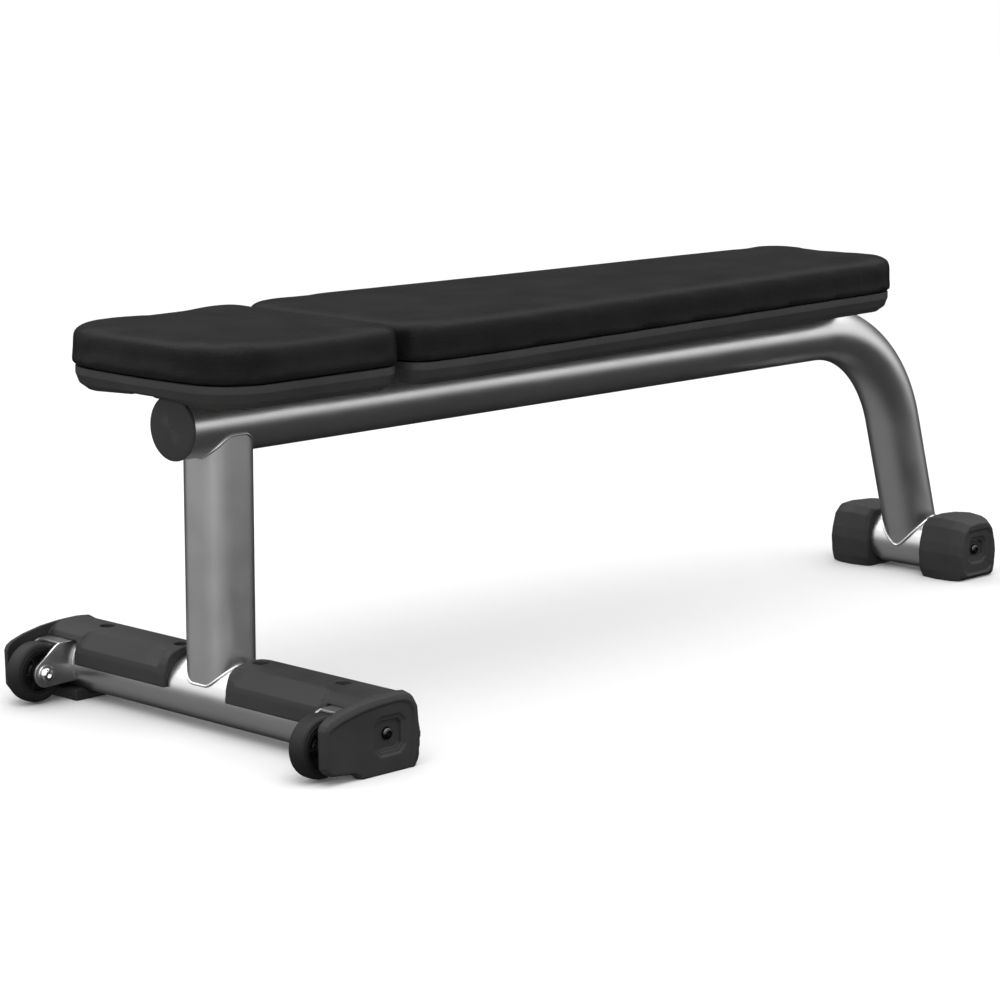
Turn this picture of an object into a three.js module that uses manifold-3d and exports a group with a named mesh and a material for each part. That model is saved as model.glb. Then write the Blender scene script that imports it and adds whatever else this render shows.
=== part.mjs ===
// Flat weight bench: two cushions on one bent round tube, with a wheeled front foot
// and a short rear foot.
//
// Units are millimetres, +Z is up and the floor is z = 0. The bench is laid out in its own
// datum, where X = 0 is the axis of the front post, X grows towards the bent rear leg and
// Y = 0 is the plane of symmetry. The outer group then moves the datum so that the origin
// lies on the floor under the middle of the bench.

import * as THREE from "three";
import { mergeVertices } from "three/addons/utils/BufferGeometryUtils.js";
import Module from "manifold-3d";

const wasm = await Module();
wasm.setup();

// ---------------------------------------------------------------- driving dimensions

const GAP = 0.3; // clearance kept between two pieces that touch

// Round frame tube, used for the beam and for both cross tubes
const TUBE_R = 35;
const TUBE_WALL = 3;
const TUBE_BORE_R = TUBE_R - TUBE_WALL;
const TUBE_SEAT_R = TUBE_R + GAP;

// Beam: straight under the cushions, then bent down into the rear leg
const BEAM_Z = 337;
const BEAM_FRONT_X = -60;
const BEAM_CORNER_X = 1130;
const BEND_R = 180;
const LEG_TURN = THREE.MathUtils.degToRad(73.4);
const BEND_STEPS = 9;

// Cross tubes
const FRONT_TUBE_Z = 41;
const FRONT_TUBE_HALF = 252;
const REAR_TUBE_X = 1219;
const REAR_TUBE_Z = 38.5;
const REAR_TUBE_HALF = 92;

// Front post, a rounded square tube standing on the front cross tube
const POST_DEPTH = 66;
const POST_WIDTH = 68;
const POST_CORNER_R = 24;
const POST_WALL = 3;

// Cushions and what carries them
const CUSHION_TOP_Z = 440;
const SEAM_Z = 397;
const CUSHION_EDGE_R = 16;
const PAN_BOTTOM_Z = 373;
const PAN_BAND_Z = 388;
const PAN_INSET = 2;
const PAN_CHAMFER = 12;
const PAN_LIP_INSET = 24;
const BOARD_INSET = 13;
const BOARD_THICKNESS = 18;
const CROSSBAR_THICKNESS = 6;
const CROSSBAR_WIDTH = 30;
const NOTCH_HALF = 24;
const NOTCH_HEIGHT = 5;

const SHORT_PAD = {
  corners: [
    { x: -117, y: 0, r: 420 },
    { x: -110, y: -142, r: 62 },
    { x: 145, y: -142, r: 28 },
    { x: 145, y: 142, r: 28 },
    { x: -110, y: 142, r: 62 },
  ],
  crossbarsX: [-40, 90],
  crossbarHalf: 95,
  boltY: 68,
};

const LONG_PAD = {
  corners: [
    { x: 158, y: -143, r: 26 },
    { x: 262, y: -147, r: 300 },
    { x: 1049, y: -105, r: 46 },
    { x: 1049, y: 105, r: 46 },
    { x: 262, y: 147, r: 300 },
    { x: 158, y: 143, r: 26 },
  ],
  crossbarsX: [260, 880],
  crossbarHalf: 76,
  boltY: 56,
};

// Transport wheels, hung in forks ahead of the front cross tube
const WHEEL_Y = 234;
const AXLE_X = -73;
const AXLE_Z = 36.5;
const TYRE_R = 34;
const TYRE_WIDTH = 22;
const TYRE_SEAT_R = 23;
const TYRE_SHOULDER = 6;
const HUB_WIDTH = 33.4;
const HUB_RIM_WIDTH = 20;
const HUB_WEB_WIDTH = 9;
const HUB_BOSS_R = 11;
const AXLE_R = 5;
const AXLE_CLEARANCE = 0.06;
const FORK_PLATE = 3;
const FORK_OPENING = 34;
const FORK_LOBE_R = 15;
const FORK_SHOULDER_X = -57;
const FORK_SHOULDER_Z = 69;
const FORK_BRIDGE_X = -52;
const FORK_BRIDGE_Z = 66;

// Rubber foot guards on the front cross tube
const GUARD_INNER_Y = 50;
const GUARD_ARM_Y = 256;
const GUARD_WHEEL_Y = 206;
const GUARD_OUTER_Y = 267;
const GUARD_SOLE_Y = 208;
const GUARD_BEVEL = 8;
const GUARD_SKIRT_Z = 43;
const GUARD_CREST = [
  [-40, GUARD_SKIRT_Z],
  [-38.5, 58],
  [-36, 68],
  [-32, 75.5],
  [-24.5, 80.5],
  [-12, 83.5],
  [0, 84.3],
  [12, 83.5],
  [24.5, 80.5],
  [32, 75.5],
  [36, 68],
  [38.5, 58],
  [40, GUARD_SKIRT_Z],
];
const GUARD_END = [
  [-93, 20],
  [-88, 13.5],
  [-79, 9.5],
  [-48, 6],
  [-34.4, -GUARD_BEVEL],
  [30, -GUARD_BEVEL],
  [41, 8],
  [44, 35],
  [41, 65],
  [34, 77],
  [24, 82.8],
  [8, 84.3],
  [-20, 83.5],
  [-44, 81],
  [-68, 76],
  [-84, 70.5],
  [-91, 66],
  [-94, 60],
];
// The end face is sunk a little, inside a thin rim that is open along the bottom
const GUARD_PANEL = [
  [-86.5, 22],
  [-82, 8],
  [-46, 2],
  [-30, -12],
  [28, -12],
  [33, 8],
  [34.5, 35],
  [32, 61],
  [26.5, 70],
  [17, 73.8],
  [6, 74.5],
  [-20, 73.3],
  [-43, 70.5],
  [-66, 65.5],
  [-82, 60.5],
  [-86.5, 57.5],
];
const PANEL_DEPTH = 2.2;
// A sloping hollow along the front of the shell
const GUARD_SCOOP = [
  [-50, 61.5],
  [-39, 61.5],
  [-20.5, 82.5],
  [-23, 95],
  [-50, 95],
];
const SCOOP_FADE = 6;
const SCREW_Y = [65, 194];
const SCREW_RECESS_R = 9;
const SCREW_SEAT_Z = 78.6;

// Rubber feet on the rear cross tube
const REAR_FOOT_SECTIONS = [
  { y: 43, half: 43, foot: 33, top: 77, lift: 0 },
  { y: 48, half: 45.5, foot: 38, top: 80, lift: 0 },
  { y: 72, half: 47, foot: 42, top: 82, lift: 0 },
  { y: 92, half: 44.5, foot: 40, top: 80.5, lift: 0 },
  { y: 104, half: 39.5, foot: 36, top: 78, lift: 1 },
  { y: 109.5, half: 36.5, foot: 32, top: 74, lift: 6 },
];
const REAR_FOOT_CHEEK = 7.5;

// End bolts and the pockets that they sit in
const POCKET_FLOOR = 9;
const BOLT_R = 4;
const BOLT_HOLE_R = 4.4;

// ---------------------------------------------------------------- materials

const LOOKS = {
  vinyl: { color: 0x1d1d1f, roughness: 0.55, metalness: 0 },
  pan: { color: 0x2c2c2e, roughness: 0.5, metalness: 0 },
  board: { color: 0x26221e, roughness: 0.8, metalness: 0 },
  frame: { color: 0xb9bbbd, roughness: 0.32, metalness: 0.75 },
  rubber: { color: 0x3a3b3d, roughness: 0.7, metalness: 0 },
  cap: { color: 0x38393b, roughness: 0.45, metalness: 0 },
  tyre: { color: 0x232325, roughness: 0.75, metalness: 0 },
  hub: { color: 0x17171a, roughness: 0.5, metalness: 0 },
  steel: { color: 0xc9cacc, roughness: 0.2, metalness: 1 },
  blackSteel: { color: 0x1b1b1d, roughness: 0.3, metalness: 1 },
};

// ---------------------------------------------------------------- solids and booleans

function toSolid(geometry) {
  const bare = geometry.clone();
  bare.deleteAttribute("normal");
  bare.deleteAttribute("uv");
  const merged = mergeVertices(bare, 0.0005);
  const vertProperties = new Float32Array(merged.attributes.position.array);
  const triVerts = new Uint32Array(merged.index.array);
  return new wasm.Manifold(new wasm.Mesh({ numProp: 3, vertProperties, triVerts }));
}

function toGeometry(solid) {
  const { vertProperties, triVerts } = solid.getMesh();
  const geometry = new THREE.BufferGeometry();
  geometry.setAttribute("position", new THREE.BufferAttribute(vertProperties, 3));
  geometry.setIndex(new THREE.BufferAttribute(triVerts, 1));
  geometry.computeVertexNormals();
  return geometry;
}

function cut(body, ...tools) {
  return toGeometry(tools.reduce((solid, tool) => solid.subtract(toSolid(tool)), toSolid(body)));
}

function join(body, ...others) {
  return toGeometry(others.reduce((solid, other) => solid.add(toSolid(other)), toSolid(body)));
}

function common(body, ...others) {
  return toGeometry(others.reduce((solid, other) => solid.intersect(toSolid(other)), toSolid(body)));
}

// A box from its two corners
function block(low, high) {
  const size = high.map((value, axis) => value - low[axis]);
  const middle = high.map((value, axis) => (value + low[axis]) / 2);
  return new THREE.BoxGeometry(...size).translate(...middle);
}

// A cylinder along Y, centred on (x, z)
function rodAlongY(radius, x, z, fromY, toY, sides = 32) {
  const rod = new THREE.CylinderGeometry(radius, radius, toY - fromY, sides);
  return rod.translate(x, (fromY + toY) / 2, z);
}

// A cylinder along Z, centred on (x, y)
function rodAlongZ(radius, x, y, fromZ, toZ, sides = 16) {
  const rod = new THREE.CylinderGeometry(radius, radius, toZ - fromZ, sides);
  return rod.rotateX(Math.PI / 2).translate(x, y, (fromZ + toZ) / 2);
}

// A body of revolution about Y, from [radius, y] points that start and end on the axis
function turned(profile, sides = 16) {
  return new THREE.LatheGeometry(profile.map(([r, y]) => new THREE.Vector2(r, y)), sides);
}

// A ring about Y, from [radius, y] points that close on themselves
function turnedRing(profile, sides) {
  return turned([...profile, profile[0]], sides);
}

// An outline in X and Z, extruded along Y
function slabAlongY(outline, fromY, toY, bevel = 0) {
  const shape = new THREE.Shape(outline.map(([x, z]) => new THREE.Vector2(x, z)));
  const slab = new THREE.ExtrudeGeometry(shape, {
    depth: toY - fromY - 2 * bevel,
    bevelEnabled: bevel > 0,
    bevelThickness: bevel,
    bevelSize: bevel,
    bevelOffset: -bevel,
    bevelSegments: 2,
  });
  return slab.rotateX(Math.PI / 2).translate(0, toY - bevel, 0);
}

// An outline in X and Y, extruded along Z
function slabAlongZ(outline, fromZ, toZ) {
  const shape = new THREE.Shape(outline.map(([x, y]) => new THREE.Vector2(x, y)));
  const slab = new THREE.ExtrudeGeometry(shape, { depth: toZ - fromZ, bevelEnabled: false });
  return slab.translate(0, 0, fromZ);
}

// A closed skin over convex sections that lie at rising y and have equal point counts
function loftAlongY(sections) {
  const count = sections[0].outline.length;
  const last = (sections.length - 1) * count;
  const positions = sections.flatMap(({ y, outline }) => outline.flatMap(([x, z]) => [x, y, z]));
  const index = [];
  for (let ring = 0; ring < last; ring += count) {
    for (let i = 0; i < count; i += 1) {
      const next = (i + 1) % count;
      index.push(ring + i, ring + count + i, ring + next);
      index.push(ring + next, ring + count + i, ring + count + next);
    }
  }
  for (let i = 1; i < count - 1; i += 1) {
    index.push(0, i, i + 1);
    index.push(last, last + i + 1, last + i);
  }
  const geometry = new THREE.BufferGeometry();
  geometry.setAttribute("position", new THREE.Float32BufferAttribute(positions, 3));
  geometry.setIndex(index);
  return geometry;
}

// An eight-sided outline: a box about (x, z) with its corners cut off
function chamferedBox(x, z, halfX, halfZ, chamfer) {
  return [
    [x - halfX + chamfer, z - halfZ],
    [x + halfX - chamfer, z - halfZ],
    [x + halfX, z - halfZ + chamfer],
    [x + halfX, z + halfZ - chamfer],
    [x + halfX - chamfer, z + halfZ],
    [x - halfX + chamfer, z + halfZ],
    [x - halfX, z + halfZ - chamfer],
    [x - halfX, z - halfZ + chamfer],
  ];
}

// The same solid on the other side of the plane of symmetry
function mirrored(geometry) {
  const copy = geometry.clone().scale(1, -1, 1);
  const index = copy.index.array;
  for (let i = 0; i < index.length; i += 3) {
    [index[i], index[i + 1]] = [index[i + 1], index[i]];
  }
  copy.computeVertexNormals();
  return copy;
}

// A polygon whose corners are rounded, drawn inside the given corners by an inset
function roundedShape(corners, inset = 0, arcSteps = 5) {
  const count = corners.length;
  const area = corners.reduce((sum, a, i) => {
    const b = corners[(i + 1) % count];
    return sum + a.x * b.y - b.x * a.y;
  }, 0);
  const turn = Math.sign(area);
  const points = [];
  corners.forEach((corner, i) => {
    const here = new THREE.Vector2(corner.x, corner.y);
    const before = corners[(i + count - 1) % count];
    const after = corners[(i + 1) % count];
    const inward = here.clone().sub(before).normalize();
    const outward = new THREE.Vector2(after.x, after.y).sub(here).normalize();
    const normalIn = new THREE.Vector2(-inward.y, inward.x).multiplyScalar(turn);
    const normalOut = new THREE.Vector2(-outward.y, outward.x).multiplyScalar(turn);
    const miter = 1 + normalIn.dot(normalOut);
    const centre = normalIn.clone().add(normalOut).multiplyScalar(corner.r / miter).add(here);
    const radius = corner.r - inset;
    const start = Math.atan2(-normalIn.y, -normalIn.x);
    const sweep = Math.atan2(normalIn.cross(normalOut), normalIn.dot(normalOut));
    for (let step = 0; step <= arcSteps; step += 1) {
      const angle = start + (sweep * step) / arcSteps;
      points.push([centre.x + radius * Math.cos(angle), centre.y + radius * Math.sin(angle)]);
    }
  });
  return points;
}

// ---------------------------------------------------------------- frame

// Centreline of the beam. Its parameter moves in whole steps: one for the straight run,
// one for the leg and the rest for the bend, so the straights carry no extra facets.
class BeamPath extends THREE.Curve {
  constructor(fromX, legOverrun) {
    super();
    this.tangentLength = BEND_R * Math.tan(LEG_TURN / 2);
    this.bendX = BEAM_CORNER_X - this.tangentLength;
    this.fromX = fromX;
    this.legLength = (BEAM_Z - REAR_TUBE_Z) / Math.sin(LEG_TURN) - this.tangentLength + legOverrun;
  }

  locate(u) {
    const step = u * (BEND_STEPS + 2);
    const turned = Math.min(Math.max((step - 1) / BEND_STEPS, 0), 1) * LEG_TURN;
    const tangent = new THREE.Vector3(Math.cos(turned), 0, -Math.sin(turned));
    const point = new THREE.Vector3(this.bendX, 0, BEAM_Z);
    point.x += BEND_R * Math.sin(turned);
    point.z -= BEND_R * (1 - Math.cos(turned));
    if (step < 1) {
      point.x -= (1 - step) * (this.bendX - this.fromX);
    }
    if (step > BEND_STEPS + 1) {
      point.addScaledVector(tangent, (step - BEND_STEPS - 1) * this.legLength);
    }
    return { point, tangent };
  }

  getPoint(u) {
    return this.locate(u).point;
  }

  getPointAt(u) {
    return this.locate(u).point;
  }

  getTangentAt(u) {
    return this.locate(u).tangent;
  }
}

function sweptDisc(radius, path, sides) {
  const shape = new THREE.Shape();
  for (let i = 0; i < sides; i += 1) {
    const angle = (2 * Math.PI * i) / sides;
    const point = [radius * Math.cos(angle), radius * Math.sin(angle)];
    if (i === 0) {
      shape.moveTo(...point);
    } else {
      shape.lineTo(...point);
    }
  }
  return new THREE.ExtrudeGeometry(shape, { steps: BEND_STEPS + 2, extrudePath: path });
}

function mainTube() {
  const outside = sweptDisc(TUBE_R, new BeamPath(BEAM_FRONT_X, 0), 32);
  const inside = sweptDisc(TUBE_BORE_R, new BeamPath(BEAM_FRONT_X - 5, 5), 16);
  const seat = rodAlongY(TUBE_SEAT_R, REAR_TUBE_X, REAR_TUBE_Z, -60, 60);
  return cut(outside, inside, seat);
}

function crossTube(x, z, half, holesY = []) {
  const outside = rodAlongY(TUBE_R, x, z, -half, half);
  const inside = rodAlongY(TUBE_BORE_R, x, z, -half - 5, half + 5, 20);
  const holes = holesY.map((y) => rodAlongZ(BOLT_HOLE_R, x, y, z, z + TUBE_R + 5, 10));
  return cut(outside, inside, ...holes);
}

function squareCorners(depth, width, r) {
  return [
    { x: -depth / 2, y: -width / 2, r },
    { x: depth / 2, y: -width / 2, r },
    { x: depth / 2, y: width / 2, r },
    { x: -depth / 2, y: width / 2, r },
  ];
}

function frontPost() {
  const corners = squareCorners(POST_DEPTH, POST_WIDTH, POST_CORNER_R);
  const outside = slabAlongZ(roundedShape(corners, 0, 4), FRONT_TUBE_Z, BEAM_Z);
  const inside = slabAlongZ(roundedShape(corners, POST_WALL, 4), FRONT_TUBE_Z - 5, BEAM_Z + 5);
  const beam = new THREE.CylinderGeometry(TUBE_SEAT_R, TUBE_SEAT_R, 4 * POST_DEPTH, 32);
  beam.rotateZ(Math.PI / 2).translate(0, 0, BEAM_Z);
  return cut(outside, inside, beam, rodAlongY(TUBE_SEAT_R, 0, FRONT_TUBE_Z, -60, 60));
}

// Flat bar laid across the beam, which both ends of a cushion are bolted to
function crossbar(x, half, boltY) {
  const low = SEAM_Z - GAP - BOARD_THICKNESS - GAP - CROSSBAR_THICKNESS;
  const bar = block(
    [x - CROSSBAR_WIDTH / 2, -half, low],
    [x + CROSSBAR_WIDTH / 2, half, low + CROSSBAR_THICKNESS],
  );
  const beam = new THREE.CylinderGeometry(TUBE_SEAT_R, TUBE_SEAT_R, 2 * CROSSBAR_WIDTH, 32);
  beam.rotateZ(Math.PI / 2).translate(x, 0, BEAM_Z);
  const holes = [-boltY, boltY].map((y) => rodAlongZ(BOLT_HOLE_R, x, y, low - 5, SEAM_Z, 10));
  return cut(bar, beam, ...holes);
}

// Plastic cap with a shallow dome, pushed into the front end of the beam
function beamCap() {
  const cap = turned([
    [0, -5.2],
    [33, -3.6],
    [TUBE_R + 0.7, -2],
    [TUBE_R + 0.7, 0],
    [TUBE_BORE_R - 2, 0],
    [TUBE_BORE_R - 2, 20],
    [TUBE_BORE_R - 5, 20],
    [TUBE_BORE_R - 5, 1],
    [0, 1],
  ], 28);
  return cap.rotateZ(-Math.PI / 2);
}

// Threaded insert for the end of a cross tube, with its outer face at y = 0
function endPlug() {
  return turnedRing([
    [BOLT_HOLE_R, 0],
    [BOLT_HOLE_R, -22],
    [TUBE_BORE_R - 2, -22],
    [TUBE_BORE_R - 2, 0],
  ], 16);
}

// ---------------------------------------------------------------- fasteners

// Button-head bolt along Y: the seat is y = 0, the head lies in +Y and the shank in -Y
function buttonBolt(headR, headHeight, shankR, length, sides = 10) {
  const socketR = headR * 0.42;
  const socketFloor = headHeight * 0.45;
  return turned([
    [0, -length],
    [shankR, -length],
    [shankR, 0],
    [headR, 0],
    [headR * 0.85, headHeight * 0.7],
    [socketR, headHeight],
    [socketR, socketFloor],
    [0, socketFloor],
  ], sides);
}

// Flanged hexagon bolt pointing up: the seat is z = 0 and the head hangs below it
function flangeBolt(length) {
  const shank = rodAlongZ(BOLT_R, 0, 0, -1, length, 10);
  const flange = rodAlongZ(8.5, 0, 0, -1.6, 0, 16);
  const head = rodAlongZ(7, 0, 0, -6.5, -1, 6);
  return join(shank, flange, head);
}

// ---------------------------------------------------------------- cushions

function cushion(pad) {
  const outline = roundedShape(pad.corners);
  const shape = new THREE.Shape(outline.map(([x, y]) => new THREE.Vector2(x, y)));
  const depth = CUSHION_TOP_Z - SEAM_Z;
  const body = new THREE.ExtrudeGeometry(shape, {
    depth,
    bevelThickness: CUSHION_EDGE_R,
    bevelSize: CUSHION_EDGE_R,
    bevelOffset: -CUSHION_EDGE_R,
    bevelSegments: 3,
  });
  body.translate(0, 0, CUSHION_TOP_Z - CUSHION_EDGE_R - depth);
  const below = block([-500, -500, 0], [1500, 500, SEAM_Z + GAP]);
  return cut(body, below);
}

// Stiff trim under a cushion: an upright band, a chamfer below it and a lip under the board
function pan(pad) {
  const outline = roundedShape(pad.corners);
  const shape = new THREE.Shape(outline.map(([x, y]) => new THREE.Vector2(x, y)));
  const height = PAN_BAND_Z - PAN_BOTTOM_Z;
  const body = new THREE.ExtrudeGeometry(shape, {
    depth: SEAM_Z - PAN_BAND_Z,
    bevelThickness: height,
    bevelSize: PAN_CHAMFER,
    bevelOffset: -PAN_CHAMFER - PAN_INSET,
    bevelSegments: 1,
  });
  body.translate(0, 0, PAN_BAND_Z);
  const boardFloor = SEAM_Z - BOARD_THICKNESS - 2 * GAP;
  return cut(
    body,
    block([-500, -500, SEAM_Z], [1500, 500, SEAM_Z + 50]),
    slabAlongZ(roundedShape(pad.corners, PAN_LIP_INSET), 0, SEAM_Z + 50),
    slabAlongZ(roundedShape(pad.corners, BOARD_INSET - GAP), boardFloor, SEAM_Z + 50),
  );
}

// The short cushion's trim is cut away in front, over the beam's end cap
function shortPan() {
  const notch = block(
    [SHORT_PAD.corners[0].x - 20, -NOTCH_HALF, PAN_BOTTOM_Z - 10],
    [SHORT_PAD.corners[0].x + 40, NOTCH_HALF, PAN_BOTTOM_Z + NOTCH_HEIGHT],
  );
  return cut(pan(SHORT_PAD), notch);
}

function board(pad) {
  const top = SEAM_Z - GAP;
  const bottom = top - BOARD_THICKNESS;
  const plank = slabAlongZ(roundedShape(pad.corners, BOARD_INSET), bottom, top);
  const holes = pad.crossbarsX.flatMap((x) =>
    [-pad.boltY, pad.boltY].map((y) => rodAlongZ(BOLT_HOLE_R, x, y, bottom - 5, bottom + 14, 10)),
  );
  return cut(plank, ...holes);
}

// ---------------------------------------------------------------- wheels and forks

function tyre() {
  const half = TYRE_WIDTH / 2;
  const shoulder = TYRE_R - TYRE_SHOULDER;
  return turnedRing([
    [TYRE_SEAT_R + GAP, -half],
    [shoulder, -half],
    [TYRE_R - 1.6, -half + 3],
    [TYRE_R, -half + 6.5],
    [TYRE_R, half - 6.5],
    [TYRE_R - 1.6, half - 3],
    [shoulder, half],
    [TYRE_SEAT_R + GAP, half],
  ], 32);
}

function hub() {
  const half = HUB_WIDTH / 2;
  const rim = HUB_RIM_WIDTH / 2;
  const web = HUB_WEB_WIDTH / 2;
  const bore = AXLE_R + AXLE_CLEARANCE;
  return turnedRing([
    [bore, -half],
    [HUB_BOSS_R, -half],
    [HUB_BOSS_R, -web],
    [TYRE_SEAT_R - 3, -web],
    [TYRE_SEAT_R, -rim],
    [TYRE_SEAT_R, rim],
    [TYRE_SEAT_R - 3, web],
    [HUB_BOSS_R, web],
    [HUB_BOSS_R, half],
    [bore, half],
  ], 20);
}

// Bent bracket with two cheeks and a bridge, butted against the front of the cross tube
function wheelFork() {
  const cheek = [];
  for (let angle = 110; angle <= 270; angle += 20) {
    const turn = THREE.MathUtils.degToRad(angle);
    cheek.push([AXLE_X + FORK_LOBE_R * Math.cos(turn), AXLE_Z + FORK_LOBE_R * Math.sin(turn)]);
  }
  cheek.push([-26, AXLE_Z - FORK_LOBE_R + 2]);
  cheek.push([-10, FRONT_TUBE_Z]);
  cheek.push([-10, FORK_SHOULDER_Z]);
  cheek.push([FORK_SHOULDER_X, FORK_SHOULDER_Z]);
  const inner = -FORK_OPENING / 2;
  const outer = FORK_OPENING / 2;
  const hole = rodAlongY(AXLE_R + GAP, AXLE_X, AXLE_Z, -20, 20, 16);
  return cut(
    join(
      slabAlongY(cheek, inner - FORK_PLATE, inner),
      slabAlongY(cheek, outer, outer + FORK_PLATE),
      block([FORK_BRIDGE_X, inner - 1, FORK_BRIDGE_Z], [-10, outer + 1, FORK_SHOULDER_Z]),
    ),
    hole,
    rodAlongY(TUBE_SEAT_R, 0, FRONT_TUBE_Z, -20, 20),
  );
}

// Axle bolt along Y, head towards -Y, with its seat at y = 0 on the fork's inner cheek
function axleBolt() {
  const reach = FORK_OPENING + 2 * FORK_PLATE + 5.5;
  return turned([
    [0, -3],
    [3.2, -3],
    [3.2, -6],
    [4.6, -6],
    [6.8, -4.2],
    [7.6, -1.6],
    [AXLE_R, -1.6],
    [AXLE_R, reach],
    [0, reach],
  ], 16);
}

function axleWasher() {
  return turnedRing([
    [AXLE_R + GAP, -1.2],
    [10.2, -1.2],
    [10.7, 0],
    [AXLE_R + GAP, 0],
  ], 20);
}

function axleNut() {
  const nut = new THREE.CylinderGeometry(8, 8, 5, 6).translate(0, 2.5, 0);
  return cut(nut, rodAlongY(AXLE_R + GAP, 0, 0, -1, 6, 12));
}

// ---------------------------------------------------------------- rubber feet

// Left guard: a shell over the cross tube that ends in a foot and an arm beside the wheel
function footGuard() {
  const crest = slabAlongY(GUARD_CREST, GUARD_INNER_Y, GUARD_OUTER_Y - GUARD_BEVEL, 1.5);
  const sole = common(
    slabAlongY(
      GUARD_END.filter(([x, z]) => x > -40 && z < GUARD_SKIRT_Z).concat([[40, 50], [-40, 50]]),
      GUARD_SOLE_Y,
      GUARD_ARM_Y + GUARD_BEVEL,
    ),
    block([-200, 0, 0], [200, 300, 200]),
  );
  const end = common(
    slabAlongY(GUARD_END, GUARD_ARM_Y - 2 * GUARD_BEVEL, GUARD_OUTER_Y, GUARD_BEVEL),
    block([-200, GUARD_ARM_Y, 0], [200, 300, 200]),
  );
  const wheelRoom = block([-200, GUARD_WHEEL_Y, 13], [-20, GUARD_ARM_Y, FORK_SHOULDER_Z + GAP]);
  const nutRoom = rodAlongY(11, AXLE_X, AXLE_Z, 200, GUARD_ARM_Y + 5, 20);
  const tubeSeat = rodAlongY(TUBE_SEAT_R, 0, FRONT_TUBE_Z, 0, FRONT_TUBE_HALF + GAP);
  const pocketY = GUARD_OUTER_Y - POCKET_FLOOR;
  const panel = slabAlongY(GUARD_PANEL, GUARD_OUTER_Y - PANEL_DEPTH, 300);
  const rim = slabAlongY(chamferedBox(0, 40, 22, 21, 8), pocketY + 4.5, 300);
  const pocket = slabAlongY(chamferedBox(0, 40, 17, 16, 5), pocketY, 300);
  const boltHole = rodAlongY(BOLT_HOLE_R, 0, FRONT_TUBE_Z, 200, 300, 10);
  const screwRooms = SCREW_Y.flatMap((y) => [
    rodAlongZ(SCREW_RECESS_R, 0, y, SCREW_SEAT_Z, 100, 16),
    rodAlongZ(3.4, 0, y, 60, 100, 8),
  ]);
  const scoop = slabAlongY(GUARD_SCOOP, GUARD_INNER_Y + 9, 200, SCOOP_FADE);
  return cut(
    join(crest, sole, end),
    wheelRoom,
    nutRoom,
    tubeSeat,
    panel,
    rim,
    pocket,
    boltHole,
    scoop,
    ...screwRooms,
  );
}

// Left rear foot: a faceted block that swells in the middle, pushed over the cross tube's end
function rearFoot() {
  const cheek = REAR_FOOT_CHEEK;
  const sections = REAR_FOOT_SECTIONS.map(({ y, half, foot, top, lift }) => ({
    y,
    outline: [
      [-foot, lift],
      [foot, lift],
      [half - 2, 12 + lift / 2],
      [half, top * 0.45],
      [half - 2, top * 0.62],
      [half - cheek, top * 0.86],
      [half - 2.3 * cheek, top * 0.98],
      [0, top],
      [-half + 2.3 * cheek, top * 0.98],
      [-half + cheek, top * 0.86],
      [-half + 2, top * 0.62],
      [-half, top * 0.45],
      [-half + 2, 12 + lift / 2],
    ].map(([x, z]) => [x + REAR_TUBE_X, z]),
  }));
  const outer = REAR_FOOT_SECTIONS.at(-1).y;
  const pocketY = outer - POCKET_FLOOR;
  const z = REAR_TUBE_Z;
  return cut(
    loftAlongY(sections),
    rodAlongY(TUBE_SEAT_R, REAR_TUBE_X, z, 0, REAR_TUBE_HALF + GAP),
    slabAlongY(chamferedBox(REAR_TUBE_X, 36, 28, 29, 7), outer - 2.5, 200),
    slabAlongY(chamferedBox(REAR_TUBE_X, z, 18, 17, 6), outer - 5, 200),
    slabAlongY(chamferedBox(REAR_TUBE_X, z, 14, 12, 4), pocketY, 200),
    rodAlongY(BOLT_HOLE_R, REAR_TUBE_X, z, 0, 200, 10),
  );
}

// ---------------------------------------------------------------- assembly

const bench = new THREE.Group();

function add(name, geometry, look, position = [0, 0, 0], rotation = [0, 0, 0]) {
  const mesh = new THREE.Mesh(geometry, new THREE.MeshStandardMaterial(LOOKS[look]));
  mesh.name = name;
  mesh.position.set(...position);
  mesh.rotation.set(...rotation);
  bench.add(mesh);
}

const SIDES = [
  { name: "left", sign: 1 },
  { name: "right", sign: -1 },
];

add("main_tube", mainTube(), "frame");
add("front_post", frontPost(), "frame");
add("front_cross_tube", crossTube(0, FRONT_TUBE_Z, FRONT_TUBE_HALF, [
  ...SCREW_Y,
  ...SCREW_Y.map((y) => -y),
]), "frame");
add("rear_cross_tube", crossTube(REAR_TUBE_X, REAR_TUBE_Z, REAR_TUBE_HALF), "frame");
add("beam_end_cap", beamCap(), "cap", [BEAM_FRONT_X - GAP, 0, BEAM_Z]);

add("short_pad_cushion", cushion(SHORT_PAD), "vinyl");
add("short_pad_pan", shortPan(), "pan");
add("short_pad_board", board(SHORT_PAD), "board");
add("long_pad_cushion", cushion(LONG_PAD), "vinyl");
add("long_pad_pan", pan(LONG_PAD), "pan");
add("long_pad_board", board(LONG_PAD), "board");

[SHORT_PAD, LONG_PAD].forEach((pad, padIndex) => {
  pad.crossbarsX.forEach((x, barIndex) => {
    const number = 2 * padIndex + barIndex + 1;
    const seatZ = SEAM_Z - BOARD_THICKNESS - CROSSBAR_THICKNESS - 3 * GAP;
    add(`pad_crossbar_${number}`, crossbar(x, pad.crossbarHalf, pad.boltY), "frame");
    SIDES.forEach(({ name, sign }) => {
      const spot = [x, sign * pad.boltY, seatZ];
      add(`pad_bolt_${number}_${name}`, flangeBolt(CROSSBAR_THICKNESS + 13), "steel", spot);
    });
  });
});

const guard = footGuard();
const foot = rearFoot();

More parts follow.
